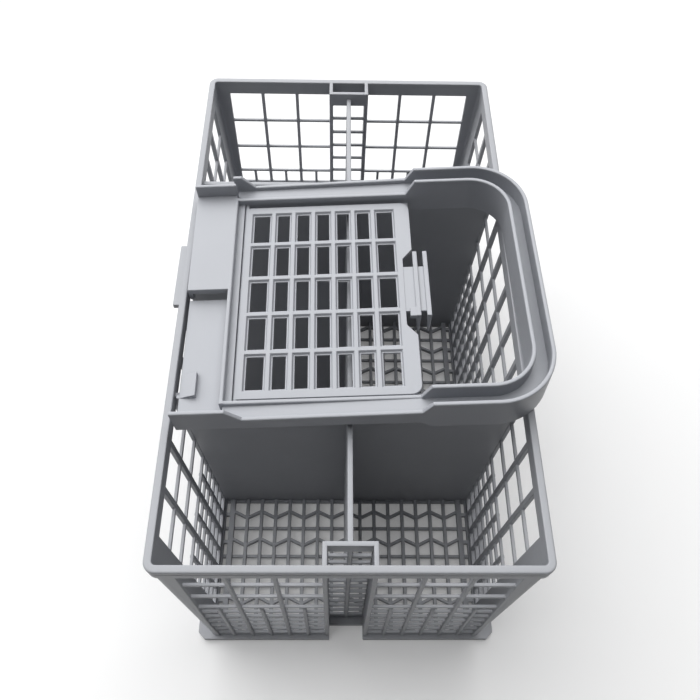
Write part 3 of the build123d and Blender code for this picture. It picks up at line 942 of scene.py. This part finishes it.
def lidParts():
    shape = lidShape
    top = shape["bottom"] + shape["thickness"]
    crown = top + shape["plateRise"]
    pitch = shape["plate"] + shape["plateGap"]
    near, far = shape["plateEnds"]
    neckNear, neckFar = shape["neck"]
    neckStart = shape["end"] - shape["notchDepth"] - shape["neckRoot"]
    returnReach, returnWidth = shape["return"]
    firstPlate = shape["end"] + shape["plate"] / 2
    meshes = [
        lidPlate(),
        rodMesh(shape["barrel"], shape["half"], shape["hinge"]),
        rodMesh(shape["pin"], shape["pinReach"], shape["hinge"]),
        boxMesh((neckStart, neckNear, shape["bottom"] + shape["lap"]),
                (firstPlate + pitch, neckFar, top - shape["neckDrop"]), shape["neckEdge"]),
        boxMesh((shape["end"] - returnReach, near, shape["bottom"]),
                (firstPlate, near + returnWidth, crown - shape["lap"]), shape["returnEdge"]),
    ]
    for middle in (firstPlate, firstPlate + pitch):
        outline = [(middle + side * width / 2, w) for side, width, w in (
            (-1, shape["plate"], crown), (-1, shape["plateTip"], -shape["plateDrop"]),
            (1, shape["plateTip"], -shape["plateDrop"]), (1, shape["plate"], crown))]
        meshes.append(sideways(prismMesh(outline, -far, -near, shape["plateRound"], 3)))
    for mesh in meshes:
        mesh.transform(handlePlane())
    return meshes


joinPiece("hingedLid", lidParts(), handlePlastic, "lid_body", "lid")


# Camera, floor and light

viewFit = {
    "place": (-4.95, -180.31, 362.08), "pitch": 59.068, "yaw": 1.966, "roll": 2.054,
    "lens": 37.81, "sensor": 36.0, "clipStart": 0.01,
}
studio = {  # metres, as the finished meshes
    "floorSize": 6.0, "floorSeen": 0.97, "floorBounce": 0.3,
    "floorGlow": 0.14, "fadeStart": 0.16, "fadeEnd": 0.6,  # the paper fades to white away from the basket
    "worldLight": 0.07, "worldColour": (0.97, 0.98, 1.0),
    "lamp": {"place": (-0.45, 0.8, 1.5), "aim": (0.0, 0.0, 0.1), "side": 3.0, "watts": 76.0},
}


def addCamera():
    pitch = radians(viewFit["pitch"])
    yaw = radians(viewFit["yaw"])
    roll = radians(viewFit["roll"])
    ahead = Vector((sin(yaw) * cos(pitch), cos(yaw) * cos(pitch), -sin(pitch)))
    level = Vector((cos(yaw), -sin(yaw), 0.0))
    upright = level.cross(ahead)
    right = cos(roll) * level + sin(roll) * upright
    up = cos(roll) * upright - sin(roll) * level
    data = bpy.data.cameras.new("viewCamera")
    data.sensor_width = viewFit["sensor"]
    data.lens = viewFit["lens"]
    data.clip_start = viewFit["clipStart"]
    camera = bpy.data.objects.new("viewCamera", data)
    scene.collection.objects.link(camera)
    turn = Matrix((right, up, -ahead)).transposed().to_4x4()
    camera.matrix_world = Matrix.Translation(Vector(viewFit["place"]) * millimetre) @ turn
    scene.camera = camera


def seenDirectly(tree):
    path = Wire.make(tree, "ShaderNodeLightPath", out="Is Camera Ray")
    return path | path.also("Is Glossy Ray") | path.also("Is Transmission Ray")


def addFloor():
    half = studio["floorSize"] / 2
    mesh = bpy.data.meshes.new("studioFloor")
    corners = [(-half, -half, 0), (half, -half, 0), (half, half, 0), (-half, half, 0)]
    mesh.from_pydata(corners, [], [(0, 1, 2, 3)])
    material = bpy.data.materials.new("floorPaper")
    material.use_nodes = True
    tree = material.node_tree
    shader = tree.nodes["Principled BSDF"]
    seen = seenDirectly(tree)
    paper = seen.node("ShaderNodeMix", {"data_type": "RGBA"}, {
        0: seen, 6: (*[studio["floorBounce"]] * 3, 1.0), 7: (*[studio["floorSeen"]] * 3, 1.0)}, 2)
    tree.links.new(paper.socket, shader.inputs["Base Color"])
    shader.inputs["Roughness"].default_value = 1.0
    shader.inputs["Specular IOR Level"].default_value = 0.0
    place = seen.node("ShaderNodeTexCoord", out="Object")
    away = place.node("ShaderNodeVectorMath", {"operation": "LENGTH"}, {0: place}, "Value")
    glow = place.node("ShaderNodeMapRange", {"interpolation_type": "SMOOTHSTEP"}, {
        "Value": away, "From Min": studio["fadeStart"], "From Max": studio["fadeEnd"],
        "To Min": studio["floorGlow"], "To Max": 1.0})
    white = place.node("ShaderNodeEmission", sockets={"Strength": 1.0})
    mixed = place.node("ShaderNodeMixShader", sockets={
        0: seen * glow, 1: Wire(tree, shader.outputs["BSDF"]), 2: white})
    tree.links.new(mixed.socket, tree.nodes["Material Output"].inputs["Surface"])
    mesh.materials.append(material)
    floor = bpy.data.objects.new("studioFloor", mesh)
    scene.collection.objects.link(floor)


def addLight():
    world = bpy.data.worlds.new("studioWorld")
    world.use_nodes = True
    scene.world = world
    tree = world.node_tree
    sky = tree.nodes["Background"]
    seen = seenDirectly(tree)
    strength = pick(seen, 1.0, studio["worldLight"])
    tree.links.new(strength.socket, sky.inputs["Strength"])
    sky.inputs["Color"].default_value = (*studio["worldColour"], 1.0)
    look = studio["lamp"]
    data = bpy.data.lights.new("keyLight", "AREA")
    data.energy = look["watts"]
    data.size = look["side"]
    lamp = bpy.data.objects.new("keyLight", data)
    scene.collection.objects.link(lamp)
    lamp.location = look["place"]
    aim = Vector(look["aim"]) - lamp.location
    lamp.rotation_euler = aim.to_track_quat("-Z", "Y").to_euler()


addCamera()
addFloor()
addLight()
scene.view_settings.view_transform = "Standard"
print("camera, floor and light set")

bpy.context.view_layer.update()
